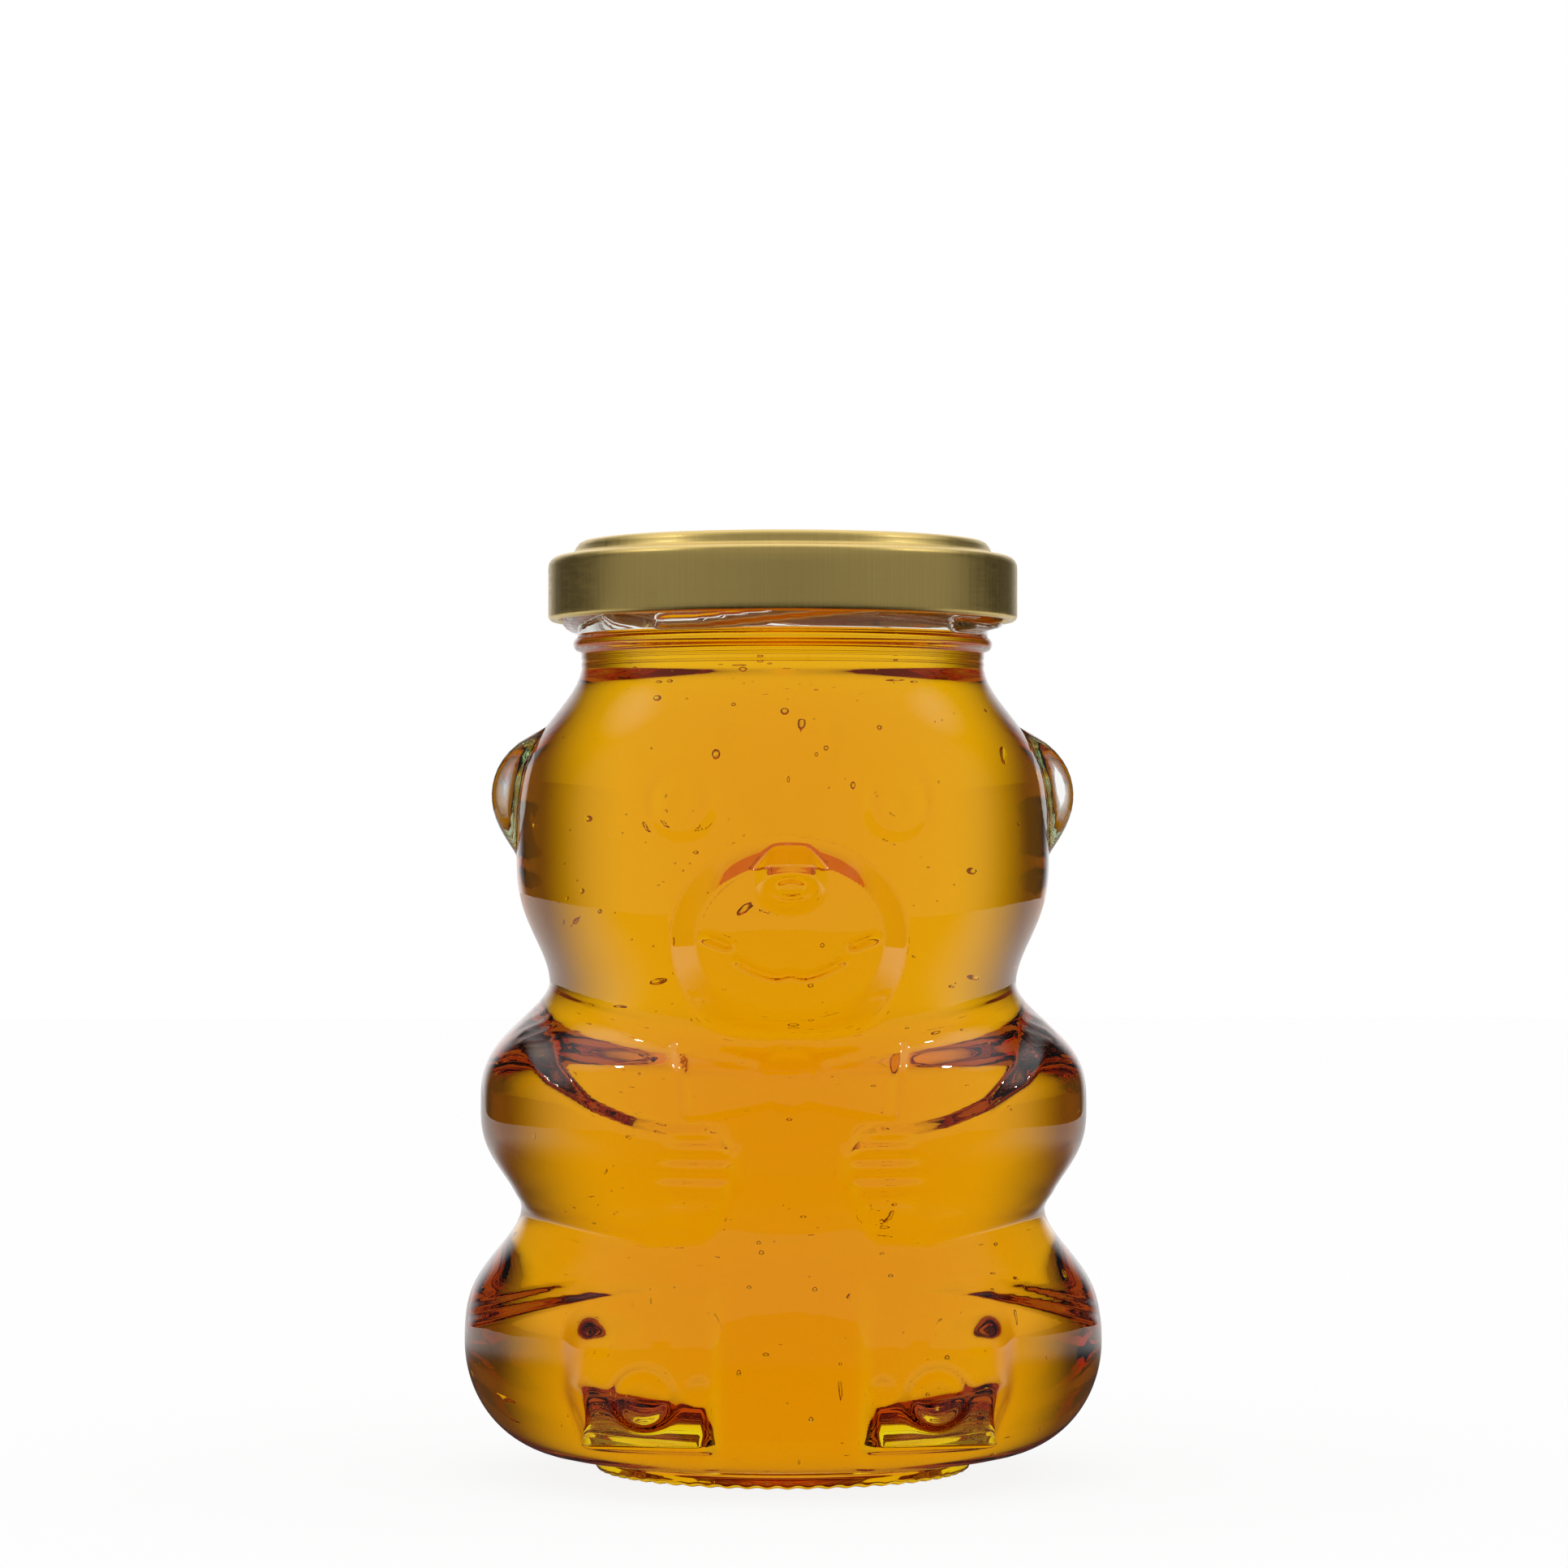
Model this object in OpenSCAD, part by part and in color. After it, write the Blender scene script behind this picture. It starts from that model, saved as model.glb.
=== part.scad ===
/* [Legs] */
// Width across the legs
leg_w = 82.4; // [80.5:0.1:84]
// Depth of the seat, from the soles to the back
leg_d = 80; // [78:0.5:82]
// Height of the widest point of the legs
leg_z = 17; // [16:0.5:18]

/* [Belly] */
// Width across the belly and the arms
belly_w = 78.2; // [76:0.1:80]
// Depth of the belly
belly_d = 76; // [74:0.5:78]
// Height of the widest point of the belly
belly_z = 47.2; // [46:0.1:48.5]
// Width at the crease between legs and belly
low_waist_w = 67.8; // [66:0.1:70]
// Depth at that crease, which hardly shows in front
low_waist_d = 74.4; // [70:0.2:76]
// Height of that crease
low_waist_z = 34; // [33:0.5:35]

/* [Head] */
// Width of the head without the ears
head_w = 69.2; // [67.5:0.1:70.5]
// Depth of the head
head_d = 68; // [66:0.5:69]
// Height of the widest point of the head
head_z = 79.5; // [78.5:0.1:80.5]
// Width at the crease under the head
high_waist_w = 60.6; // [59:0.1:62]
// Depth at that crease
high_waist_d = 66; // [60:0.2:68]
// Height of that crease at the sides
high_waist_z = 64.1; // [63:0.1:65]
// How far the chin hangs below that height in front
chin_drop = 7.5; // [6:0.5:9]
// Width across both ears
ear_span = 75.7; // [74.5:0.1:76.5]
// Radius of an ear seen from the front
ear_r = 8.3; // [7.8:0.1:8.8]
// Thickness of an ear
ear_t = 7.6; // [6:0.2:8]

/* [Relief] */
// How far the side of the muzzle stands out
muzzle_h = 2.6; // [1.5:0.1:2.8]
// Radius of the muzzle disc
muzzle_r = 14.8; // [13:0.1:16]
// How far the nose stands out of the muzzle
nose_h = 2.6; // [1.5:0.1:2.8]
// How far the arms stand out of the belly
arm_h = 1.5; // [1:0.1:2]
// How far the legs stand out of the lap
thigh_h = 1.2; // [0.8:0.1:1.5]
// How far the flat soles stay behind the front of the seat
sole_gap = 0.8; // [0.4:0.1:1.2]
// How far the bow tie stands out
bow_h = 0.8; // [0.5:0.1:1.1]

/* [Glass] */
// Wall thickness of the body
wall = 2.8; // [2.4:0.1:3.2]
// Height of the inside floor
floor_z = 5; // [4.5:0.1:6]
// Radius of the ring that the jar stands on
heel_r = 24.3; // [23.5:0.1:25]
// How far the base rises in the middle of that ring
punt_h = 1.4; // [0.5:0.1:2]

/* [Neck finish] */
// Diameter of the bore
bore_d = 48; // [47:0.1:48.4]
// Thickness of the neck below the transfer bead
neck_wall = 2.2; // [2:0.1:2.4]
// Thickness of the wall that carries the threads
finish_wall = 2.7; // [2.5:0.1:2.9]
// How far the threads stand out of that wall
thread_h = 1.9; // [1.7:0.1:2]
// Rise of a thread in one full turn
lead = 17; // [16.5:0.1:17.5]
// Height of the sealing rim
rim_z = 119.2; // [119:0.1:119.4]

/* [Lid] */
// Room from the threads to the outside of the lid's skirt
skirt_room = 1.9; // [1.8:0.1:2.1]
// Height of the skirt, from the curl to the shoulder
skirt_h = 8.4; // [8.2:0.1:8.6]
// Thickness of the tinplate
sheet = 0.3; // [0.25:0.01:0.32]
// Width of the shoulder between the skirt and the step
shoulder_w = 3.4; // [3:0.1:3.8]
// Angle of the lugs, from the front towards the right
lug_angle = 52; // [51:0.5:53]

/* [Contents] */
// Height of the honey's surface
fill_z = 107.5; // [104:0.1:110]

/* [Hidden] */
$fn = 96;

// The moulded body runs from just above the heel to just under the neck.
body_high = 102.2;
cavity_high = 103.2;
bore_low = 101;
neck_z = 104;
ring_step = 2;
ring_crowd = 1.12;
front_step = 4;
back_step = 7.5;
foot_gap = 0.3;
foot_r = heel_r - foot_gap;
foot_z = 2.2;
foot_round = 0.4;
body_low = foot_z;
heel_w = 3;
heel_lift = 1;
punt_gap = 0.05;

// How full each bulge is next to its crease. 1 is a plain cosine.
leg_full = 1.53;
belly_low_full = 1.4;
belly_high_full = 1.6;
head_low_full = 1.4;
head_high_full = 1.95;

// Features of the figure, seen from the front. x runs from the middle, and heights from the
// widest point of the head, the belly or the legs.
muzzle_z = head_z - 10.2;
muzzle_side = 4.4;
muzzle_dome = 1.3;
nose_z = [head_z - 6.1, head_z - 2.3, head_z + 2.1];
nose_x = [4.1, 1.5];
ear_z = head_z + 7.8;
ear_edge = 2.4;
arm_gap = 7.2;
arm_top = [[7.2, -4.7], [8.4, -2.6], [10.6, -1.4], [14.6, -1.5], [19, -0.6], [24, 1.3],
    [28.9, 4.8], [31.5, 9.4], [34, 18.8]];
arm_foot = [[7.2, -7.7], [8.4, -10.8], [10.4, -13.6], [17.3, -14.8], [22.9, -13.8],
    [30, -12.6], [42, -11.8]];
arm_slope = 3.2;
thigh_gap = 9.2;
thigh_top = 8.9;
thigh_fall = 0.0066;
thigh_slope = 3;
sole_room = 0.9;
sole_x = [9.1, 27.6];
sole_z = [leg_z - 11, leg_z + 7];
sole_soft = [1, 5, 1.2, 5.5];
sole_bend = 0.0102;
sole_taper = [2.5, 8, leg_z - 3];
bow = [belly_z + 4.8, 14.3, 4.4, 2];
face_fade = 4;
limb_fade = 2.2;

// Diameters of the neck, of the wall with the threads, over the threads and of the lid.
neck_d = bore_d + 2 * neck_wall;
finish_d = bore_d + 2 * finish_wall;
thread_d = finish_d + 2 * thread_h;
lid_d = thread_d + 2 * skirt_room;

// Threads: four starts, each flat at its low end and then a helix.
starts = 4;
thread_start = -39;
thread_flat = 15;
thread_span = 110;
thread_z = rim_z - 11.15;
thread_t = 1.6;
thread_step = 5;
finish_low = 97;
bead_z = rim_z - 12.3;
bead_r = finish_d / 2 + 0.55;
lip_z = rim_z - 2.2;
lip_r = finish_d / 2 - 0.5;

// The compound lies on the rim, and the lid on the compound.
seal_gap = 0.05;
seal_t = 0.75;
seal_over = 0.4;
seal_play = 0.2;
top_z = rim_z + seal_gap + seal_t + sheet;
lid_h = 10.4;
lid_z = top_z - lid_h;
curl_r = 0.7;
corner_r = 1.3;
step_r = lid_d / 2 - shoulder_w;
panel_r = step_r - 4.6;
panel_sink = 0.5;

// A lug stays this far under its thread and reaches this far in over it.
lug_half = 7;
lug_gap = 0.3;
lug_grip = 0.7;
lug_in = thread_d / 2 - lug_grip;

function clamp(v) = min(1, max(0, v));
function soft(v) = let (t = clamp(v)) t * t * (3 - 2 * t);

// 1 inside the region where d is negative, 0 outside it, with a soft edge.
function inside(d, edge) = soft(0.5 - d / edge);

// From a bulge at t = 0 to a crease at t = 1.
function swell(bulge, crease, t, full) =
    crease + (bulge - crease) * (1 + cos(180 * pow(clamp(t), full))) / 2;

// Height of the crease under the head at the angle a from the front.
function chin_z(a) = high_waist_z - chin_drop * pow((1 + cos(a)) / 2, 3);

// Half a size at the height z, from sizes at the legs, creases, belly and head.
function half_at(z, a, legs, low, belly, high, head) =
    let (chin = chin_z(a))
    z < leg_z ? foot_r + (legs - foot_r) * pow(1 - pow((leg_z - z) / (leg_z - foot_z), 2), foot_round) :
    z < low_waist_z ? swell(legs, low, (z - leg_z) / (low_waist_z - leg_z), leg_full) :
    z < belly_z ? swell(belly, low, (belly_z - z) / (belly_z - low_waist_z), belly_low_full) :
    z < chin ? swell(belly, high, (z - belly_z) / (chin - belly_z), belly_high_full) :
    z < head_z ? swell(head, high, (head_z - z) / (head_z - chin), head_low_full) :
    swell(head, neck_d / 2, (z - head_z) / (neck_z - head_z), head_high_full);

// The legs leave room in front for the thighs and the soles, so that the depth stays leg_d.
function leg_reach(a) = leg_d / 2 - (cos(a) > 0 ? thigh_h + sole_room : 0);

function core_r(z, a) =
    let (w = half_at(z, a, leg_w / 2, low_waist_w / 2, belly_w / 2, high_waist_w / 2, head_w / 2))
    let (d = half_at(z, a, leg_reach(a), low_waist_d / 2, belly_d / 2, high_waist_d / 2, head_d / 2))
    1 / sqrt(pow(sin(a) / w, 2) + pow(cos(a) / d, 2));

function muzzle(x, z) =
    let (d = norm([x, z - muzzle_z]) - muzzle_r)
    muzzle_h * inside(d + muzzle_side / 2, muzzle_side) + muzzle_dome * soft(-d / muzzle_r);

// A facet that widens downwards from the brow, over an upright front.
function nose_bump(x, z) =
    let (slope = clamp((nose_z[2] - z) / (nose_z[2] - nose_z[1])))
    nose_h * slope * inside(x - nose_x[1] - (nose_x[0] - nose_x[1]) * slope, 1.5)
        * soft((z - nose_z[0] + 2) / 3);

function arm(x, z) =
    arm_h * inside(max(z - belly_z - lookup(x, arm_top), belly_z + lookup(x, arm_foot) - z,
        arm_gap - x), arm_slope);

function thigh(x, z) =
    let (top = leg_z + thigh_top - thigh_fall * pow(x - thigh_gap, 2))
    thigh_h * inside(max(z - top, thigh_gap - x), thigh_slope);

// 1 on a sole and 0 around it. A sole is narrower towards its heel.
function sole_mask(x, z) =
    let (outer = sole_x[1] - sole_taper[0] * soft((sole_taper[2] - z) / sole_taper[1]))
    inside(sole_x[0] - x, sole_soft[0]) * inside(x - outer + sole_soft[1] / 2, sole_soft[1])
        * inside(sole_z[0] - z, sole_soft[2])
        * inside(z - sole_z[1] + sole_soft[3] / 2, sole_soft[3]);

// How far the flat face of a sole lies in front of the radius r.
function sole_out(x, z, a, r) =
    let (face = leg_d / 2 - sole_gap - sole_bend * x * x)
    sole_mask(x, z) * max(face / max(cos(a), 0.2) - r, 0);

function bow_tie(x, z) =
    let (spread = bow[3] + (bow[2] - bow[3]) * x / bow[1])
    bow_h * inside(max(abs(z - bow[0]) - spread, x - bow[1]), 2);

// Everything that stands out of the front, for the point x, z on it.
function relief(x, z, a) =
    let (face = soft(face_fade * cos(a)), limb = soft(limb_fade * cos(a)))
    face * (muzzle(x, z) * soft((z - chin_z(a)) / 3) + nose_bump(x, z)) + limb * thigh(x, z)
        + max(limb * arm(x, z), face * bow_tie(x, z));

function turned(r, a, z) = [r * sin(a), -r * cos(a), z];

function outer_point(z, a) =
    let (core = core_r(z, a), x = abs(core * sin(a)))
    let (r = core + relief(x, z, a))
    turned(cos(a) > 0 ? r + sole_out(x, z, a, r) : core, a, z);

// The inside follows the body without its relief, a wall thickness within it.
function inner_point(z, a) = turned(core_r(z, a) - wall, a, z);

front_angles = [for (a = [-90 : front_step : 90 - front_step / 2]) a];
back_angles = [for (a = [90 : back_step : 270 - back_step / 2]) a];
fine_angles = concat(front_angles, back_angles);
plain_angles = [for (a = [0 : back_step : 360 - back_step / 2]) a];

// A closed solid through rings of points, all with as many points.
module loft(rings) {
    n = len(rings[0]);
    last = len(rings) - 1;
    sides = [for (j = [0 : last - 1], i = [0 : n - 1]) let (k = (i + 1) % n)
        each [
            [j * n + i, (j + 1) * n + i, (j + 1) * n + k],
            [j * n + i, (j + 1) * n + k, j * n + k]
        ]];
    low_cap = [for (i = [0 : n - 1]) i];
    high_cap = [for (i = [n - 1 : -1 : 0]) last * n + i];
    polyhedron(points = [for (r = rings) each r], faces = concat(sides, [low_cap, high_cap]));
}

module moulded_body() {
    steps = round((body_high - body_low) / ring_step);
    loft([for (j = [0 : steps])
        let (z = body_low + (body_high - body_low) * pow(j / steps, ring_crowd))
        [for (a = fine_angles) outer_point(z, a)]]);
}

module cavity_body() {
    steps = 34;
    loft([for (j = [0 : steps])
        let (z = floor_z + (cavity_high - floor_z) * pow(j / steps, ring_crowd))
        [for (a = plain_angles) inner_point(z, a)]]);
}

module ear() {
    half = ear_t / 2;
    translate([ear_span / 2 - ear_r, 0, ear_z])
        rotate([90, 0, 0])
        rotate_extrude() {
            translate([0, -half]) square([ear_r - ear_edge, ear_t]);
            translate([0, ear_edge - half]) square([ear_r, ear_t - 2 * ear_edge]);
            for (side = [-1, 1])
                intersection() {
                    translate([ear_r - ear_edge, side * (half - ear_edge)]) circle(ear_edge);
                    translate([0, -half]) square([ear_r, ear_t]);
                }
        }
}

// The glass from inside the shoulder up to the rim, with the transfer bead.
module finish() {
    within = bore_d / 2 - 2;
    round_r = 1;
    rotate_extrude() {
        translate([within, finish_low]) square([neck_d / 2 - within, bead_z - finish_low]);
        translate([within, bead_z]) square([finish_d / 2 - within, lip_z - bead_z]);
        translate([within, lip_z]) square([lip_r - within, rim_z - round_r - lip_z]);
        translate([within, rim_z - 2 * round_r]) square([lip_r - round_r - within, 2 * round_r]);
        translate([lip_r - round_r, rim_z - round_r]) circle(round_r);
        translate([bead_r - round_r, bead_z]) circle(round_r);
    }
}

function thread_rise(a) = max(0, a - thread_flat) / 360 * lead;

// One thread, tapering into the wall at both ends.
module thread() {
    n = thread_span / thread_step;
    root = finish_d / 2 - 0.8;
    chamfer = 0.5;
    taper = 8;
    end_crest = finish_d / 2 + chamfer + 0.12;
    loft([for (i = [0 : n])
        let (a = i * thread_step, low = thread_z + thread_rise(a), high = low + thread_t)
        let (full = clamp(min(a, thread_span - a) / taper))
        let (crest = end_crest + (thread_d / 2 - end_crest) * full)
        [turned(root, a, low), turned(root, a, high), turned(crest - chamfer, a, high),
            turned(crest, a, high - chamfer), turned(crest, a, low + chamfer),
            turned(crest - chamfer, a, low)]]);
}

// The ring that the jar stands on, with its outer edge rounded.
module heel() {
    edge = 0.8;
    rotate_extrude() {
        translate([0, heel_lift]) square([heel_r, 2.5]);
        translate([heel_r - heel_w, 0]) square([heel_w - edge, 2]);
        translate([heel_r - edge, edge]) circle(edge);
        translate([heel_r - edge, edge]) square([edge, 1.5]);
    }
}

// The shallow dome that is pressed up into the base within the ring.
module punt() {
    reach = heel_r - heel_w - punt_gap;
    dome_r = (reach * reach + punt_h * punt_h) / (2 * punt_h);
    translate([0, 0, heel_lift + punt_h - dome_r])
        intersection() {
            sphere(dome_r);
            translate([0, 0, dome_r]) cylinder(h = 4 * punt_h, r = reach, center = true);
        }
}

// The space that the wall encloses, up through the bore.
module inside_space(top) {
    cavity_body();
    translate([0, 0, bore_low]) cylinder(h = top - bore_low, d = bore_d);
}

module glass_jar() {
    color([0.86, 0.93, 0.88, 0.35])
    difference() {
        union() {
            moulded_body();
            ear();
            mirror([1, 0, 0]) ear();
            finish();
            heel();
            for (k = [0 : starts - 1])
                rotate([0, 0, thread_start + k * 360 / starts]) thread();
        }
        inside_space(rim_z + 1);
        punt();
    }
}

module honey() {
    color([0.9, 0.58, 0.02])
    intersection() {
        inside_space(rim_z);
        translate([0, 0, fill_z / 2]) cube([2 * leg_w, 2 * leg_d, fill_z], center = true);
    }
}

// The pressed shell's section, from the curl over the shoulder to the panel.
module shell_section() {
    r = lid_d / 2;
    shoulder = lid_z + skirt_h;
    translate([r - sheet, lid_z + curl_r]) square([sheet, skirt_h - curl_r - corner_r]);
    translate([r - corner_r, shoulder - corner_r])
        intersection() {
            difference() {
                circle(corner_r);
                circle(corner_r - sheet);
            }
            square(corner_r);
        }
    translate([step_r - sheet, shoulder - sheet]) square([r - corner_r - step_r + sheet, sheet]);
    translate([step_r - sheet, shoulder - sheet]) square([sheet, top_z - shoulder + sheet]);
    translate([panel_r, top_z - sheet]) square([step_r - panel_r, sheet]);
    translate([panel_r, top_z - panel_sink - sheet]) square([sheet, panel_sink + sheet]);
    translate([0, top_z - panel_sink - sheet]) square([panel_r + sheet, sheet]);
    translate([r - curl_r, lid_z + curl_r])
        difference() {
            circle(curl_r);
            circle(curl_r - sheet);
        }
}

module lid_shell() {
    thread_low = thread_z + thread_rise(lug_angle - lug_half - thread_start);
    lug_t = thread_low - lug_gap - lid_z;
    color([0.62, 0.55, 0.34]) {
        rotate_extrude() shell_section();
        for (k = [0 : starts - 1])
            rotate([0, 0, lug_angle - lug_half - 90 + k * 360 / starts])
                rotate_extrude(angle = 2 * lug_half)
                translate([lug_in, lid_z]) square([lid_d / 2 - sheet / 2 - lug_in, lug_t]);
    }
}

module sealing_ring() {
    low = rim_z + seal_gap;
    seal_in = bore_d / 2 - seal_over;
    seal_out = step_r - sheet - seal_play;
    color([0.88, 0.86, 0.8])
    rotate_extrude()
        translate([seal_in, low]) square([seal_out - seal_in, seal_t]);
}

glass_jar();
honey();
lid_shell();
sealing_ring();
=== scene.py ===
import math
import random

import bmesh
import bpy
import numpy as np
from mathutils import Matrix, Vector


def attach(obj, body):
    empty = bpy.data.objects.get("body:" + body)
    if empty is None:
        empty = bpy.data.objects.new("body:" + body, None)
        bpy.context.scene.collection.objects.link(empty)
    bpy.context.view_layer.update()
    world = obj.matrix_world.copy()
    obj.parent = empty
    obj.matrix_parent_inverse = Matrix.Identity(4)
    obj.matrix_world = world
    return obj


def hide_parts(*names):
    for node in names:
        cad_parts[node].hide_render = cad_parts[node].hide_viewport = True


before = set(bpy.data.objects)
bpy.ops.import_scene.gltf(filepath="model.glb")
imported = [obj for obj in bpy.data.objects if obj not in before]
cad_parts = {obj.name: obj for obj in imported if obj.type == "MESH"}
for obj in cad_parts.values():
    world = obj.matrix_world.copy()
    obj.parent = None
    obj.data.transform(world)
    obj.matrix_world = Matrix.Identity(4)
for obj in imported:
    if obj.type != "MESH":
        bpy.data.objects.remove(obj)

mm = 0.001
scene = bpy.context.scene
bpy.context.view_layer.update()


# Node helpers
def link(tree, source, target):
    tree.links.new(source, target)


def addMath(tree, kind, first, second=None, clamp=False):
    node = tree.nodes.new("ShaderNodeMath")
    node.operation = kind
    node.use_clamp = clamp
    for index, value in enumerate((first, second)):
        if value is None:
            continue
        if isinstance(value, (int, float)):
            node.inputs[index].default_value = value
        else:
            link(tree, value, node.inputs[index])
    return node.outputs[0]


def addRange(tree, value, fromLow, fromHigh, toLow=0.0, toHigh=1.0, smooth=True):
    node = tree.nodes.new("ShaderNodeMapRange")
    node.interpolation_type = "SMOOTHSTEP" if smooth else "LINEAR"
    link(tree, value, node.inputs["Value"])
    ends = {"From Min": fromLow, "From Max": fromHigh, "To Min": toLow, "To Max": toHigh}
    for name, number in ends.items():
        node.inputs[name].default_value = number
    return node.outputs["Result"]


def addMix(tree, factor, first, second):
    node = tree.nodes.new("ShaderNodeMix")
    node.data_type = "RGBA"
    link(tree, factor, node.inputs[0])
    for index, value in ((6, first), (7, second)):
        if isinstance(value, (tuple, list)):
            node.inputs[index].default_value = value
        else:
            link(tree, value, node.inputs[index])
    return node.outputs[2]


def addNoise(tree, vector, scale, detail=2.0, roughness=0.5):
    node = tree.nodes.new("ShaderNodeTexNoise")
    node.inputs["Scale"].default_value = scale
    node.inputs["Detail"].default_value = detail
    node.inputs["Roughness"].default_value = roughness
    link(tree, vector, node.inputs["Vector"])
    return node.outputs["Fac"]


def addBump(tree, height, strength, distance):
    node = tree.nodes.new("ShaderNodeBump")
    node.inputs["Strength"].default_value = strength
    node.inputs["Distance"].default_value = distance
    link(tree, height, node.inputs["Height"])
    return node.outputs["Normal"]


def objectCoords(tree, scale=(1, 1, 1), turn=(0, 0, 0)):
    coords = tree.nodes.new("ShaderNodeTexCoord")
    mapping = tree.nodes.new("ShaderNodeMapping")
    mapping.inputs["Scale"].default_value = scale
    mapping.inputs["Rotation"].default_value = turn
    link(tree, coords.outputs["Object"], mapping.inputs["Vector"])
    return mapping.outputs["Vector"]


def newMaterial(name):
    material = bpy.data.materials.new(name)
    material.use_nodes = True
    tree = material.node_tree
    return material, tree, tree.nodes["Principled BSDF"]


# Shape helpers, on arrays of heights and angles. Angles run from the front towards the right.
def soft(value):
    t = np.clip(value, 0, 1)
    return t * t * (3 - 2 * t)


def within(distance, edge):
    return soft(0.5 - distance / edge)


def raisedLine(distance, width):
    return np.exp(-(distance / width) ** 2)


def softMax(first, second, blend):
    h = np.clip(1 - np.abs(first - second) / blend, 0, 1)
    return np.maximum(first, second) + h * h * blend / 4


def segmentDistance(x, z, start, end):
    dx, dz = end[0] - start[0], end[1] - start[1]
    t = np.clip(((x - start[0]) * dx + (z - start[1]) * dz) / (dx * dx + dz * dz), 0, 1)
    return np.hypot(x - start[0] - t * dx, z - start[1] - t * dz)


def pathDistance(x, z, points):
    return np.min([segmentDistance(x, z, a, b) for a, b in zip(points, points[1:])], axis=0)


def swell(bulge, crease, t, full):
    return crease + (bulge - crease) * (1 + np.cos(math.pi * np.clip(t, 0, 1) ** full)) / 2


# The bear's body, in millimetres, as widths and depths at its bulges and creases
bear = {
    "legs": (82.4, 80.0, 17.0),      # width, depth, height of the widest point
    "lowCrease": (67.8, 74.4, 34.0),
    "belly": (78.2, 76.0, 47.2),
    "highCrease": (60.6, 66.0, 64.1),
    "head": (69.2, 68.0, 79.5),
    "neck": (52.4, 52.4, 104.0),
    "foot": 24.0,
    "footLow": 2.2,
    "footRound": 0.4,
    "chinDrop": 7.5,
    "frontRoom": 2.1,                # room that the legs leave for the soles
    "full": {"leg": 1.53, "bellyLow": 1.4, "bellyHigh": 1.6, "headLow": 1.4, "headHigh": 1.95},
    "wall": 2.8,
    "floor": 5.0,
    "floorRound": 6.0,
    "bodyHigh": 103.8,
}


def chinHeight(a):
    return bear["highCrease"][2] - bear["chinDrop"] * ((1 + np.cos(a)) / 2) ** 3


def halfAt(z, chin, legs, low, belly, high, head):
    full = bear["full"]
    legZ, lowZ, bellyZ, headZ, neckZ = (bear[k][2] for k in ("legs", "lowCrease", "belly", "head", "neck"))
    foot, footLow = bear["foot"], bear["footLow"]
    round_ = np.clip(1 - ((legZ - z) / (legZ - footLow)) ** 2, 0, 1) ** bear["footRound"]
    return np.select(
        [z < legZ, z < lowZ, z < bellyZ, z < chin, z < headZ],
        [foot + (legs - foot) * round_,
         swell(legs, low, (z - legZ) / (lowZ - legZ), full["leg"]),
         swell(belly, low, (bellyZ - z) / (bellyZ - lowZ), full["bellyLow"]),
         swell(belly, high, (z - bellyZ) / (chin - bellyZ), full["bellyHigh"]),
         swell(head, high, (headZ - z) / (headZ - chin), full["headLow"])],
        swell(head, bear["neck"][0] / 2, (z - headZ) / (neckZ - headZ), full["headHigh"]))


def coreRadius(z, a):
    chin = chinHeight(a)
    front = np.where(np.cos(a) > 0, bear["frontRoom"], 0)
    widths = [bear[k][0] / 2 for k in ("legs", "lowCrease", "belly", "highCrease", "head")]
    depths = [bear[k][1] / 2 for k in ("legs", "lowCrease", "belly", "highCrease", "head")]
    w = halfAt(z, chin, *widths)
    d = halfAt(z, chin, depths[0] - front, *depths[1:])
    return 1 / np.sqrt((np.sin(a) / w) ** 2 + (np.cos(a) / d) ** 2)


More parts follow.
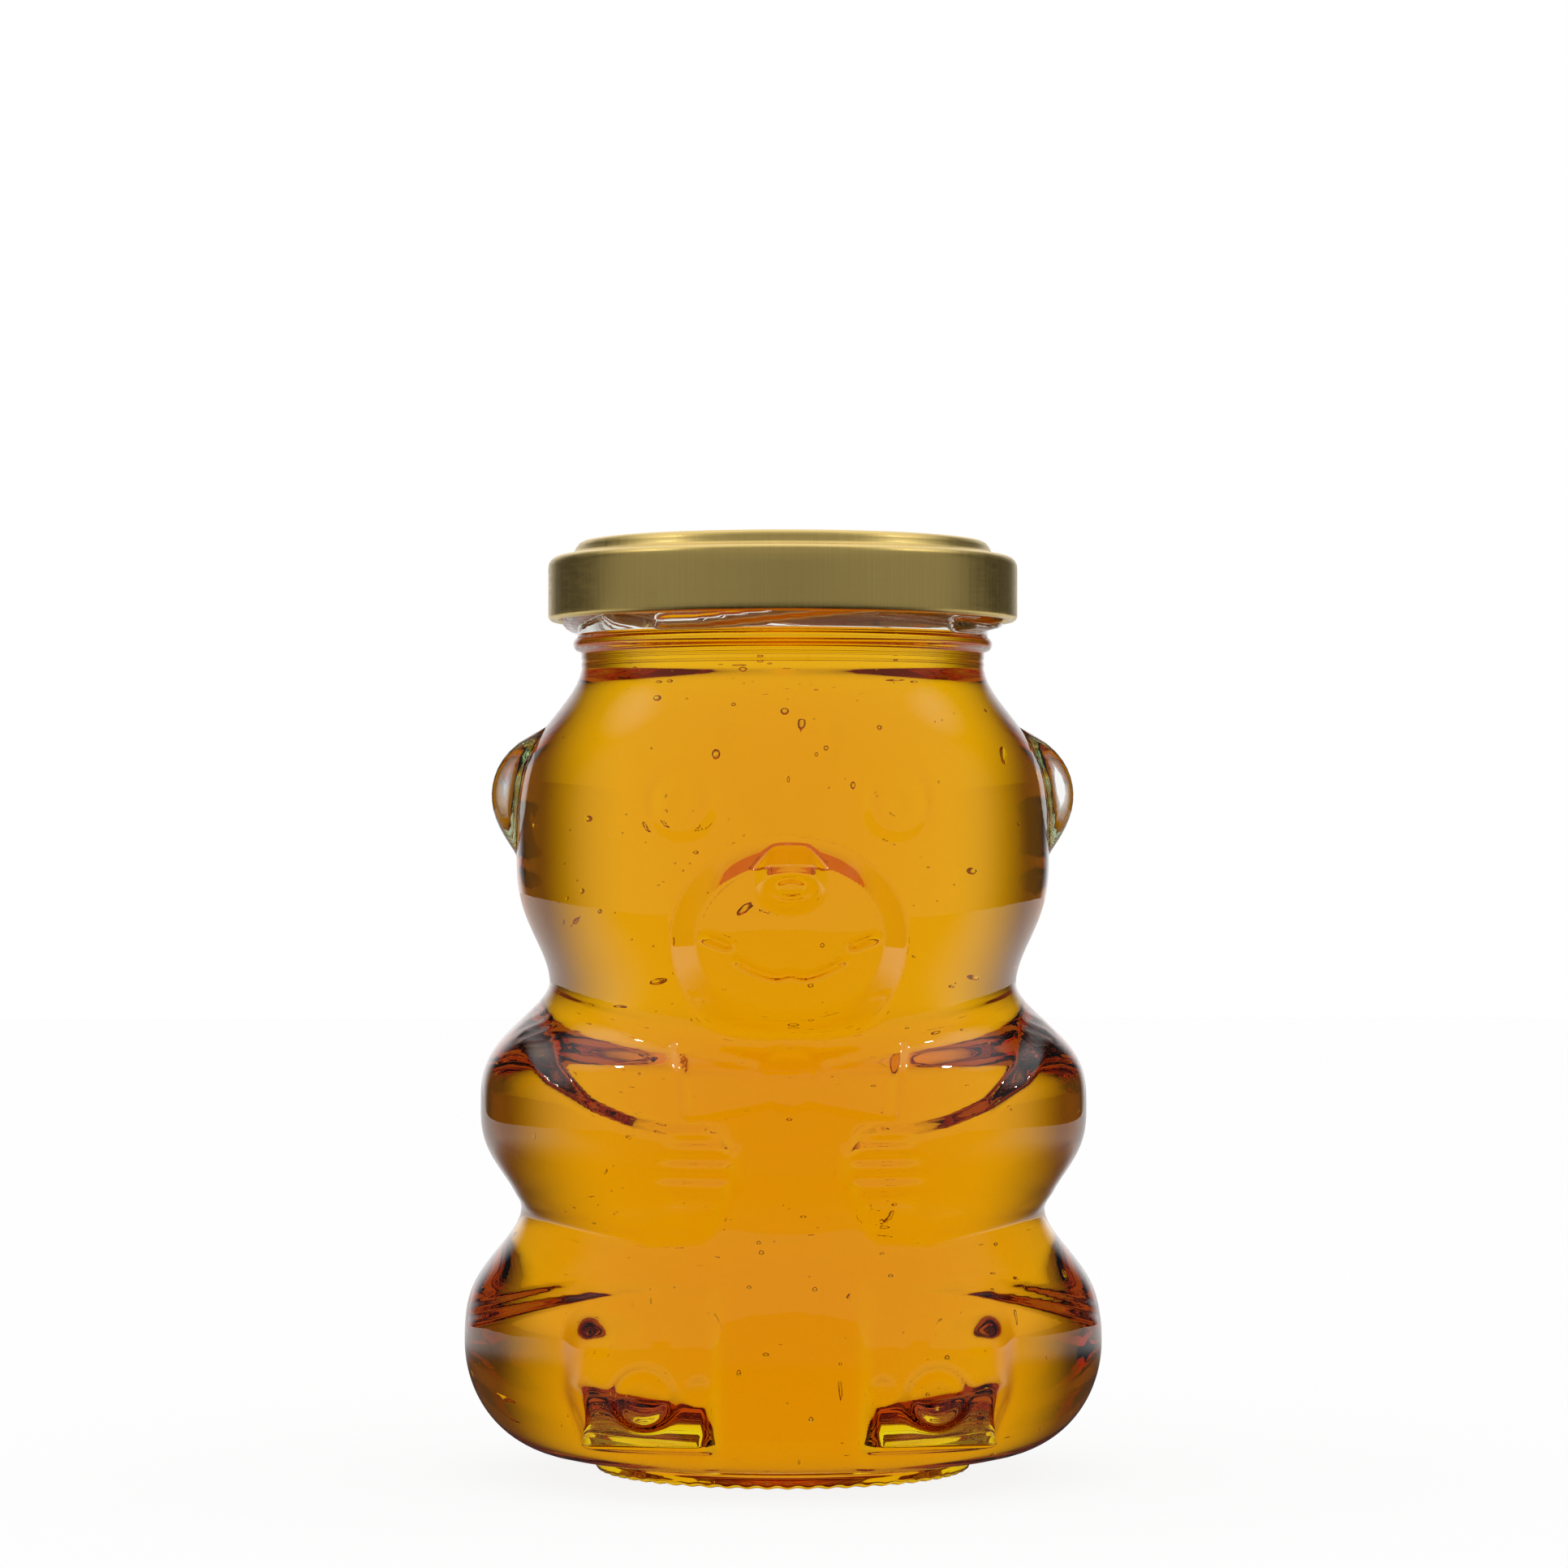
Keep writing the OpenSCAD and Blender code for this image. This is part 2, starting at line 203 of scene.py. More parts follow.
# What stands out of the body, seen from the front: x from the middle, z up
figure = {
    "muzzle": (69.2, 14.7, 12.8, 3.0, 1.2, 4.2),  # height, half width and height, rise of side and dome, side
    "nose": (80.6, 77.2, 72.4, 1.8, 4.0, 2.7),
    "tip": (75.4, 1.86, 1.17, 1.0),
    "eye": (13.4, 86.1, 3.5, 0.42),
    "smile": (64.3, 5.9, 2.1, 1.3),          # height, half width, rise of its ends, depth
    "dip": (0.55, 0.9),                      # the smile's middle
    "cheekLine": (1.4, 0.42),
    "cheek": ((9.3, 69.2), (7.1, 68.3)),
    "bow": ((13.9, 56.4), (2.4, 53.9), (2.6, 49.2), (12.5, 47.2), (13.9, 56.4)),
    "bowLow": ((0, 49.6), (12.5, 47.2), (13.9, 47.0)),
    "bowHigh": ((0, 53.4), (2.4, 53.9), (13.9, 56.4)),
    "knot": (52.2, 3.6),
    "arm": (1.5, 2.8),                       # height, width of its slope
    "armTop": ((7.2, 42.5), (8.4, 44.6), (10.6, 45.8), (14.6, 45.7), (19, 46.6), (24, 48.5), (28.9, 52),
               (31.5, 56.6), (33, 61), (34, 66)),
    "armFoot": ((7.2, 39.5), (8.4, 36.4), (10.4, 33.6), (17.3, 32.4), (22.9, 33.4), (30, 34.6), (42, 35.4)),
    "fingers": (44.4, 42.1, 39.8, 37.2, 34.9),
    "finger": (0.9, 0.42, 15.5),
    "leg": (1.2, 3.0),
    "thighRib": (27.7, 0.0066, 9.2, 0.34, 0.42),  # height, fall to the sides, inner end, rise, width
    "sole": (9.1, 27.6, 6.0, 24.0),
    "soleFace": (39.2, 0.0102),
    "soleEdges": (1.0, 5.0, 1.2, 5.5),
    "pad": (18.0, 12.8, 3.35),
    "padLine": (0.16, 0.6, 0.08, 1.2),       # rise and width of its edge, rise and slope of its face
    "toe": (0.16, 1.3, 1.2),                 # rise, radius, slope
    "toes": ((23.8, 19.5), (19.9, 21.1), (16.0, 20.8), (11.2, 14.0)),
    "ear": (87.3, 29.55, 3.0),               # height, middle, fillet
    "earEdge": ((0, 8.3), (1.2, 8.25), (2.0, 8.0), (2.5, 7.5), (2.9, 6.6), (3.8, 3.2)),
}


def faceRelief(x, z, a):
    height, radius, tall, edge, dome, side = figure["muzzle"]
    d = np.hypot(x, (z - height) * np.where(z > height, radius / tall, 1))
    above = soft((z - chinHeight(a)) / 3)
    out = above * (edge * np.clip((radius - d) / side, 0, 1) + dome * soft(1 - d / radius))
    top, brow, foot, narrow, wide, rise = figure["nose"]
    slope = np.clip((top - z) / (top - brow + 0.085 * x * x), 0, 1)
    half = narrow + (wide - narrow) * np.clip((top - z) / (top - brow), 0, 1)
    rounded = within(np.hypot(x / (wide + 0.6), np.minimum(z - brow, 0) / (brow - foot)) - 0.75, 0.7)
    out += rise * slope * within(x - half, 0.9) * rounded
    tipZ, tipX, tipH, tipOut = figure["tip"]
    out -= tipOut * raisedLine(np.hypot(x / tipX, (z - tipZ) / tipH) - 1, 0.26)
    eyeX, eyeZ, eyeR, eyeOut = figure["eye"]
    e = np.hypot(x - eyeX, z - eyeZ)
    out += eyeOut * (raisedLine(e - eyeR, 0.7) + 0.8 * raisedLine(e, 1.1))
    smileZ, smileX, smileRise, smileDeep = figure["smile"]
    dip, dipWidth = figure["dip"]
    curve = smileZ + smileRise * (x / smileX) ** 2 + dip * raisedLine(x, dipWidth)
    out -= smileDeep * raisedLine(z - curve, 0.34) * within(x - smileX, 0.8)
    cheekDeep, cheekWidth = figure["cheekLine"]
    out -= cheekDeep * raisedLine(segmentDistance(x, z, *figure["cheek"]), cheekWidth)
    return out


def bowRelief(x, z):
    points = figure["bow"]
    low, high = (np.interp(x, *zip(*figure[edge])) for edge in ("bowLow", "bowHigh"))
    plate = within(low - z, 0.8) * within(z - high, 0.8) * within(x - 13.2, 1.0)
    knotZ, knotR = figure["knot"]
    k = np.hypot(x, z - knotZ)
    wing = 0.12 * plate + 0.5 * raisedLine(pathDistance(x, z, points), 0.42)
    knot = 0.3 * within(k - knotR, 0.8) + 0.36 * raisedLine(k - knotR, 0.42)
    return np.maximum(wing * soft((k - knotR + 0.4) / 0.4), knot)


def armRelief(x, z):
    rise, slope = figure["arm"]
    top = np.interp(x, *zip(*figure["armTop"]))
    foot = np.interp(x, *zip(*figure["armFoot"]))
    d = np.maximum.reduce([z - top, foot - z, 7.2 - x])
    out = rise * within(d, slope)
    deep, width, reach = figure["finger"]
    for height in figure["fingers"]:
        shorter = 0.35 * abs(height - 40)
        out -= deep * raisedLine(z - height, width) * within(x - reach + shorter, 3) * within(d + 0.5, 1)
    return out


def legRelief(x, z):
    rise, slope = figure["leg"]
    top, fall, inner, ribRise, width = figure["thighRib"]
    curve = top - fall * (x - inner) ** 2
    out = rise * within(np.maximum(z - curve + 1, inner - x), slope)
    return out + ribRise * raisedLine(z - curve, width) * soft((x - inner + 0.6) / 3)


def soleMask(x, z):
    inner, outer, low, high = figure["sole"]
    innerEdge, outerEdge, lowEdge, highEdge = figure["soleEdges"]
    narrower = 2.5 * soft((14 - z) / 8)
    sides = within(inner - x, innerEdge) * within(x - outer + narrower + outerEdge / 2, outerEdge)
    return sides * within(low - z, lowEdge) * within(z - high + highEdge / 2, highEdge)


def soleRelief(x, z):
    padX, padZ, padR = figure["pad"]
    d = np.hypot(x - padX, z - padZ)
    edgeRise, edgeWidth, faceRise, faceSlope = figure["padLine"]
    out = edgeRise * raisedLine(d - padR, edgeWidth) + faceRise * within(d - padR, faceSlope)
    toeRise, toeR, toeSlope = figure["toe"]
    for toeX, toeZ in figure["toes"]:
        out += toeRise * within(np.hypot(x - toeX, z - toeZ) - toeR, toeSlope)
    return out


def earRadius(z, a, core):
    height, centre = figure["ear"][:2]
    y = core * np.cos(a)
    half = figure["earEdge"][-1][0]
    reach = np.interp(np.abs(y), *zip(*figure["earEdge"]))
    x = centre + np.sqrt(np.clip(reach ** 2 - (z - height) ** 2, 0, None))
    seen = (np.abs(y) < half) & (np.abs(z - height) < reach)
    return np.where(seen, x / np.maximum(np.abs(np.sin(a)), 0.5), 0)


def outerRadius(z, a):
    core = coreRadius(z, a)
    x = np.abs(core * np.sin(a))
    front, limbs = soft(np.cos(a) * 4), soft(np.cos(a) * 2.2)
    r = core + front * faceRelief(x, z, a) + limbs * legRelief(x, z)
    r = r + np.maximum(limbs * armRelief(x, z), front * bowRelief(x, z))
    flat, fall = figure["soleFace"]
    face = (flat - fall * x * x) / np.maximum(np.cos(a), 0.2)
    sole = soleMask(x, z) * front
    r = r + sole * np.maximum(face - r, 0)
    r = r + sole * soleRelief(np.abs(r * np.sin(a)), z)
    r = r - 0.2 * raisedLine(z - 7.3, 0.4) * within(x - 8.5, 1) * front
    return softMax(r, earRadius(z, a, core), figure["ear"][2])


def innerRadius(z, a):
    low, round_ = bear["floor"], bear["floorRound"]
    t = np.clip((low + round_ - z) / round_, 0, 1)
    return coreRadius(z, a) - bear["wall"] - round_ * (1 - np.sqrt(1 - t * t))


# The neck finish, the base and the contents, in millimetres
neck = {
    "bore": 24.0, "wall": 26.7, "lip": 26.2, "rim": 119.2,
    "beadZ": 106.9, "beadR": 27.25,
    "starts": 4, "firstStart": -39, "flat": 15, "span": 110, "lead": 17.0,
    "threadZ": 108.05, "threadTall": 1.6, "threadOut": 1.9,
    "ribs": (104.7, 103.7),
}
base = {"inner": 21.3, "lift": 1.0, "punt": 1.4, "knurls": 58, "knurlDeep": 0.18,
        "edge": ((22.6, 0), (23.3, 0), (23.8, 0.12), (24.15, 0.4), (24.3, 0.8), (24.3, 1.3), (24.3, 1.8),
                 (24.2, 2.1))}
honeySettings = {"fill": 107.5, "overlap": 0.15, "meniscus": 0.6, "steps": 160, "seed": 11,
                 "bubbles": ((24, 0.36, 0.62, 3), (110, 0.2, 0.34, 2), (220, 0.08, 0.16, 1))}
jarSettings = {"steps": 276, "bodyRings": 220, "threadRings": 26, "innerRings": 30,
               "plainCrowd": 0.65, "frontCrowd": 3.2, "earCrowd": 5.5,
               "underShares": (0, 0.06, 0.12, 0.18, 0.24),
               "fineHeights": ((0, 27, 1.6), (36, 57, 1.3), (61, 83, 1.6), (62, 79.5, 3.2))}


def threadRelief(z, a):
    degrees = np.degrees(a)
    out = np.zeros_like(z)
    for k in range(neck["starts"]):
        along = (degrees - neck["firstStart"] - 90 * k) % 360
        climb = np.maximum(0, along - neck["flat"]) / 360 * neck["lead"]
        middle = neck["threadZ"] + neck["threadTall"] / 2 + climb
        ends = soft(np.minimum(along, neck["span"] - along) / 7)
        profile = soft(1.9 * (1 - np.abs(z - middle) / (neck["threadTall"] / 2 + 0.15)))
        out = np.maximum(out, neck["threadOut"] * profile * ends * (along < neck["span"]))
    return out


def arcPoints(cx, cz, radius, start, end, count):
    angles = [math.radians(start + (end - start) * i / count) for i in range(count + 1)]
    return [(cx + radius * math.cos(t), cz + radius * math.sin(t)) for t in angles]


def spun(name, profile, steps):
    # profile: (kind, radius, height) in millimetres, from axis to axis or a closed loop
    bm = bmesh.new()
    kinds = bm.verts.layers.int.new("kind")
    verts = []
    for kind, radius, height in profile:
        vert = bm.verts.new((0, -radius, height))
        vert[kinds] = kind
        verts.append(vert)
    closed = profile[0] == profile[-1]
    if closed:
        bm.verts.remove(verts.pop())
    edges = [bm.edges.new(pair) for pair in zip(verts, verts[1:])]
    if closed:
        edges.append(bm.edges.new((verts[-1], verts[0])))
    bmesh.ops.spin(bm, geom=verts + edges, cent=(0, 0, 0), axis=(0, 0, 1), angle=2 * math.pi,
                   steps=steps, use_merge=True)
    bmesh.ops.remove_doubles(bm, verts=bm.verts, dist=1e-5)
    bmesh.ops.recalc_face_normals(bm, faces=bm.faces)
    mesh = bpy.data.meshes.new(name)
    bm.to_mesh(mesh)
    bm.free()
    return mesh


def crowdedAngles(angle, settings):
    # moves even steps so that more of them fall on the front and on the ears
    grid = np.linspace(0, math.pi, 721)
    weight = settings["plainCrowd"] + settings["frontCrowd"] * soft(1.6 - grid)
    weight += settings["earCrowd"] * np.exp(-((grid - math.pi / 2) / 0.13) ** 2)
    total = np.concatenate([[0], np.cumsum((weight[1:] + weight[:-1]) / 2)])
    return np.sign(angle) * np.interp(np.abs(angle), total / total[-1] * math.pi, grid)


def bodyHeights():
    # more rings where the figure has fine lines
    s = jarSettings
    low, leg = bear["footLow"], bear["legs"][2]
    under = [leg - (leg - low) * math.sqrt(1 - share ** (1 / bear["footRound"])) for share in s["underShares"]]
    grid = np.linspace(under[-1] + 0.1, bear["bodyHigh"], 1000)
    weight = 1 + sum(more * soft((grid - low) / 3) * soft((high - grid) / 3)
                     for low, high, more in s["fineHeights"])
    total = np.cumsum(weight)
    shares = np.linspace(total[0], total[-1], s["bodyRings"] + 1)
    return under + [float(z) for z in np.interp(shares, total, grid)]


def shaped(mesh, shape, crowd=None):
    # shape takes kinds, radii, angles and heights and gives new radii and heights
    count = len(mesh.vertices)
    points = np.empty(count * 3)
    mesh.vertices.foreach_get("co", points)
    points = points.reshape(-1, 3)
    kind = np.empty(count, dtype=np.int32)
    mesh.attributes["kind"].data.foreach_get("value", kind)
    mesh.attributes.remove(mesh.attributes["kind"])
    radius = np.hypot(points[:, 0], points[:, 1])
    angle = np.arctan2(points[:, 0], -points[:, 1])
    if crowd:
        angle = crowdedAngles(angle, crowd)
    radius, height = shape(kind, radius, angle, points[:, 2])
    placed = np.stack([radius * np.sin(angle), -radius * np.cos(angle), height], axis=1) * mm
    mesh.vertices.foreach_set("co", placed.ravel())
    mesh.update()


def setBend(mesh, values):
    bend = mesh.attributes.new("bend", "FLOAT", "FACE")
    bend.data.foreach_set("value", values)


def faceCentres(mesh):
    centres = np.empty(len(mesh.polygons) * 3)
    normals = np.empty(len(mesh.polygons) * 3)
    mesh.polygons.foreach_get("center", centres)
    mesh.polygons.foreach_get("normal", normals)
    return centres.reshape(-1, 3), normals.reshape(-1, 3)


def finishPiece(mesh, material, body, node):
    mesh.shade_smooth()
    mesh.materials.append(material)
    name = mesh.name
    piece = bpy.data.objects.new(name, mesh)
    scene.collection.objects.link(piece)
    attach(piece, body)
    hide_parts(node)
    print(name, len(mesh.polygons), "faces")
    return piece


# Clear glass, a little green where it is thick, with the faint ripple of a mould
glassFinish = {"ior": 1.51, "wetIor": 1.0134, "ripple": 0.05, "tint": (0.93, 0.985, 0.9), "density": 35.0}


def linkBend(tree, shader, plainIor):
    # how much a surface bends light depends on whether air or honey lies behind it
    shader.inputs["IOR"].default_value = plainIor
    bend = tree.nodes.new("ShaderNodeAttribute")
    bend.attribute_name = "bend"
    link(tree, bend.outputs["Fac"], shader.inputs["IOR"])


def makeGlass():
    material, tree, shader = newMaterial("clearGlass")
    coords = objectCoords(tree)
    ripple = addNoise(tree, coords, 90, 3)
    shader.inputs["Base Color"].default_value = (1, 1, 1, 1)
    haze = addNoise(tree, coords, 260, 2)
    link(tree, addMix(tree, haze, (0.975, 0.99, 0.975, 1), (1, 1, 1, 1)), shader.inputs["Base Color"])
    link(tree, addRange(tree, haze, 0.55, 0.8, 0.0, 0.03), shader.inputs["Roughness"])
    linkBend(tree, shader, glassFinish["ior"])
    shader.inputs["Transmission Weight"].default_value = 1
    link(tree, addBump(tree, ripple, glassFinish["ripple"], 0.001), shader.inputs["Normal"])
    volume = tree.nodes.new("ShaderNodeVolumeAbsorption")
    volume.inputs["Color"].default_value = (*glassFinish["tint"], 1)
    volume.inputs["Density"].default_value = glassFinish["density"]
    link(tree, volume.outputs[0], tree.nodes["Material Output"].inputs["Volume"])
    return material


# Honey takes out the blue within a few millimetres and the green over the jar's depth
honeyFinish = {"ior": 1.49, "wallIor": 1.0, "tint": (0.983, 0.911, 0.0), "density": 200.0}


def makeHoney():
    material, tree, shader = newMaterial("amberHoney")
    coords = objectCoords(tree)
    cloud = addNoise(tree, coords, 45, 3)
    link(tree, addMix(tree, cloud, (1, 0.99, 0.97, 1), (1, 1, 1, 1)), shader.inputs["Base Color"])
    shader.inputs["Roughness"].default_value = 0
    linkBend(tree, shader, honeyFinish["ior"])
    shader.inputs["Transmission Weight"].default_value = 1
    volume = tree.nodes.new("ShaderNodeVolumeAbsorption")
    volume.inputs["Color"].default_value = (*honeyFinish["tint"], 1)
    volume.inputs["Density"].default_value = honeyFinish["density"]
    link(tree, volume.outputs[0], tree.nodes["Material Output"].inputs["Volume"])
    return material


# Satin gold lacquer on tinplate, with the sheet's rolling lines and fine scratches
goldFinish = {"pale": (0.98, 0.76, 0.28, 1), "deep": (0.86, 0.62, 0.18, 1), "rough": (0.27, 0.42)}


def makeGold():
    material, tree, shader = newMaterial("goldLacquer")
    rolled = addNoise(tree, objectCoords(tree, (9000, 60, 60), (0, 0, 0.35)), 1, 4, 0.6)
    scratch = addNoise(tree, objectCoords(tree, (300, 300, 6000), (0.2, 0.3, 0)), 1, 2, 0.5)
    cloud = addNoise(tree, objectCoords(tree), 70, 3)
    tone = addMath(tree, "MULTIPLY", addRange(tree, rolled, 0.3, 0.7), cloud)
    link(tree, addMix(tree, tone, goldFinish["deep"], goldFinish["pale"]), shader.inputs["Base Color"])
    shader.inputs["Metallic"].default_value = 1
    rolledShare, scratchShare = addMath(tree, "MULTIPLY", rolled, 0.6), addMath(tree, "MULTIPLY", scratch, 0.4)
    grain = addMath(tree, "ADD", rolledShare, scratchShare)
    link(tree, addRange(tree, grain, 0.3, 0.7, *goldFinish["rough"]), shader.inputs["Roughness"])
    shader.inputs["Coat Weight"].default_value = 0.25
    shader.inputs["Coat Roughness"].default_value = 0.25
    link(tree, addBump(tree, grain, 0.12, 0.0001), shader.inputs["Normal"])
    return material


def makeSeal():
    material, tree, shader = newMaterial("sealCompound")
    cloud = addNoise(tree, objectCoords(tree), 900, 4)
    link(tree, addMix(tree, cloud, (0.72, 0.69, 0.62, 1), (0.85, 0.83, 0.78, 1)), shader.inputs["Base Color"])
    link(tree, addRange(tree, cloud, 0.3, 0.7, 0.42, 0.6), shader.inputs["Roughness"])
    link(tree, addBump(tree, cloud, 0.2, 0.0001), shader.inputs["Normal"])
    return material


# The jar: one closed wall, spun as a blank and then moved to the bear's shape
plain, bodyOut, bodyIn, neckOut, heelEdge = 0, 1, 2, 3, 4


def jarProfile():
    s = jarSettings
    inner, lift, punt = base["inner"], base["lift"], base["punt"]
    points = [(plain, inner * i / 12, lift + punt * (1 - (i / 12) ** 2)) for i in range(12)]
    points += [(plain, inner, lift), (plain, inner + 0.1, 0.3), (plain, inner + 0.5, 0.05)]
    points += [(heelEdge, r, z) for r, z in base["edge"]]
    points += [(bodyOut, 26, z) for z in bodyHeights()]
    wall, lip, rim = neck["wall"], neck["lip"], neck["rim"]
    points += [(neckOut, bear["neck"][0] / 2, z) for z in (104.1, 104.4, 104.7, 105.0, 105.4, 105.8)]
    points += [(plain, r, z) for r, z in arcPoints(neck["beadR"] - 1, neck["beadZ"], 1, -60, 60, 8)]
    low, high = 107.9, 115.6
    points += [(neckOut, wall, low + (high - low) * i / s["threadRings"]) for i in range(s["threadRings"] + 1)]
    points += [(plain, wall, 116.6), (plain, wall - 0.1, 117.0), (plain, lip + 0.1, 117.3), (plain, lip, 117.7)]
    points += [(plain, r, z) for r, z in arcPoints(lip - 1, rim - 1, 1, 0, 90, 6)]
    points += [(plain, r, z) for r, z in arcPoints(neck["bore"] + 0.8, rim - 0.8, 0.8, 90, 180, 5)]
    contact = honeySettings["fill"] + honeySettings["meniscus"]
    points += [(plain, neck["bore"], z) for z in (116, 113, 110, contact, 106, 104.5)]
    low, high = bear["floor"], 102.5
    points += [(bodyIn, 20, high + (low - high) * (i / s["innerRings"]) ** 0.95) for i in range(s["innerRings"] + 1)]
    points += [(plain, 21 * i / 10, low + 0.8 * (1 - (i / 10) ** 2)) for i in range(9, -1, -1)]
    return points


def jarShape(kind, radius, angle, height):
    newRadius = radius.copy()
    newHeight = height.copy()
    outer, inner, finish, edge = (kind == k for k in (bodyOut, bodyIn, neckOut, heelEdge))
    newRadius[outer] = outerRadius(height[outer], angle[outer])
    newRadius[inner] = np.minimum(innerRadius(height[inner], angle[inner]), 200)
    blend = soft((height - 99.5) / 3) * inner
    newRadius = newRadius * (1 - blend) + np.where(inner, neck["bore"], newRadius) * blend
    newRadius[finish] += threadRelief(height[finish], angle[finish])
    for rib in neck["ribs"]:
        newRadius[finish | outer] -= 0.12 * raisedLine(height[finish | outer] - rib, 0.18)
    lifted = base["knurlDeep"] * (0.5 - 0.5 * np.cos(base["knurls"] * angle[edge])) * soft((0.7 - height[edge]) / 0.6)
    newHeight[edge] += lifted
    return newRadius, newHeight


def makeJar(material):
    mesh = spun("glassJar", jarProfile(), jarSettings["steps"])
    shaped(mesh, jarShape, jarSettings)
    centres, normals = faceCentres(mesh)
    inward = (centres[:, :2] * normals[:, :2]).sum(axis=1) < -1e-7
    height = centres[:, 2] / mm
    floor = (height > 4.5) & (normals[:, 2] > 0.9) & (np.hypot(centres[:, 0], centres[:, 1]) < 23 * mm)
    contact = honeySettings["fill"] + honeySettings["meniscus"]
    wet = floor | inward & (height > 4) & (height < contact)
    setBend(mesh, np.where(wet, glassFinish["wetIor"], glassFinish["ior"]))
    return finishPiece(mesh, material, "jar", "glass_jar")


# The honey, a hair wider than the inside so that no air lies between, with its bubbles as voids
def honeyProfile():
    h = honeySettings
    low, high, over = bear["floor"] - h["overlap"], 102.5, h["overlap"]
    points = [(plain, 21 * i / 8, low + 0.8 * (1 - (i / 8) ** 2)) for i in range(8)]
    points += [(bodyIn, 20, low + (high - low) * (i / 110) ** 1.05) for i in range(111)]
    bore = neck["bore"] + over
    points += [(plain, bore, z) for z in (104.5, 106)]
    top = h["fill"]
    points += [(plain, bore, top + h["meniscus"]), (plain, bore - 0.5, top + 0.3), (plain, bore - 1.2, top + 0.06)]
    points += [(plain, r, top) for r in (22, 17, 11, 5, 0)]
    return points


def honeyShape(kind, radius, angle, height):
    inner = kind == bodyIn
    newRadius = radius.copy()
    over = honeySettings["overlap"]
    newRadius[inner] = innerRadius(np.maximum(height[inner], bear["floor"]), angle[inner]) + over
    blend = soft((height - 99.5) / 3) * inner
    newRadius = newRadius * (1 - blend) + (neck["bore"] + over) * blend
    return newRadius, height


def addBubbles(mesh):
    # voids in the honey: small balls that face inwards
    bm = bmesh.new()
    bm.from_mesh(mesh)
    bends = bm.faces.layers.float["bend"]
    random.seed(honeySettings["seed"])
    for count, small, big, rounds in honeySettings["bubbles"]:
        made = 0
        while made < count:
            a, z = random.uniform(-math.pi, math.pi), random.uniform(9, 106)
            reach = min(float(innerRadius(np.array([z]), np.array([a]))[0]), 38) if z < 101 else neck["bore"]
            r = reach * math.sqrt(random.random())
            size = random.uniform(small, big)
            if r > reach - 1.5 - size:
                continue
            place = Matrix.Translation((r * math.sin(a) * mm, -r * math.cos(a) * mm, z * mm))
            stretch = Matrix.Diagonal((1, 1, random.uniform(0.85, 1.2), 1))
            ball = bmesh.ops.create_icosphere(bm, subdivisions=rounds, radius=size * mm, matrix=place @ stretch)
            faces = {f for v in ball["verts"] for f in v.link_faces}
            bmesh.ops.reverse_faces(bm, faces=list(faces))
            for face in faces:
                face[bends] = honeyFinish["ior"]
            made += 1
    bm.to_mesh(mesh)
    bm.free()


def makeHoneyFill(material):
    mesh = spun("honeyFill", honeyProfile(), honeySettings["steps"])
    shaped(mesh, honeyShape)
    centres = faceCentres(mesh)[0]
    open_ = centres[:, 2] / mm > honeySettings["fill"] - 0.01
    setBend(mesh, np.where(open_, honeyFinish["ior"], honeyFinish["wallIor"]))
    addBubbles(mesh)
    return finishPiece(mesh, material, "jar", "honey")


# The lid: a pressed sheet with a step, a rolled curl and four lugs
lid = {"radius": 30.5, "low": 109.9, "shoulder": 118.3, "top": 120.3,
       "sink": 0.5, "sheet": 0.3, "curl": 0.7, "lugAngle": 52, "lugHalf": 7, "lugIn": 27.9, "steps": 288}


def lidProfile():
    top, shoulder, r, t = lid["top"], lid["shoulder"], lid["radius"], lid["sheet"]
    panel = top - lid["sink"]
    upper = [(0, panel + 0.1), (6, panel + 0.09), (12, panel + 0.06), (18, panel + 0.02), (21.4, panel)]
    upper += [(22.0, panel + 0.08), (22.5, top - 0.12), (23.0, top - 0.02), (24.2, top), (25.4, top)]
    upper += [(26.0, top - 0.08), (26.5, top - 0.35), (26.9, top - 0.9), (27.15, top - 1.4), (27.5, shoulder + 0.25)]
    upper += [(28.0, shoulder + 0.1), (28.6, shoulder + 0.03)]
    upper += arcPoints(r - 1.5, shoulder - 1.5, 1.5, 88, 4, 8)
    upper += [(r, z) for z in (116, 115, 114, 113, 112.2, 111.6, 111.1)]
    upper += arcPoints(r - lid["curl"], lid["low"] + lid["curl"], lid["curl"], -5, -265, 16)
    lower = [(r - 1.0, 111.4), (r - 0.62, 111.5), (r - 0.34, 111.9), (r - t, 112.4)]
    lower += [(r - t, z) for z in (113, 114, 115, 116)]
    lower += arcPoints(r - 1.5, shoulder - 1.5, 1.5 - t, 4, 88, 8)
    lower += [(28.4, shoulder - t + 0.02), (27.6, shoulder - t + 0.1), (27.0, shoulder - t + 0.4), (26.8, top - 1.5)]
    lower += [(26.6, top - 1.0), (26.2, top - 0.6), (25.8, top - 0.4), (25.2, top - t), (23.2, top - t)]
    lower += [(22.6, top - t - 0.1), (22.1, panel - t + 0.1), (21.6, panel - t), (18, panel - t + 0.02)]
    lower += [(12, panel - t + 0.06), (6, panel - t + 0.09), (0, panel - t + 0.1)]
    return [(plain, max(x, 0), z) for x, z in upper + lower]


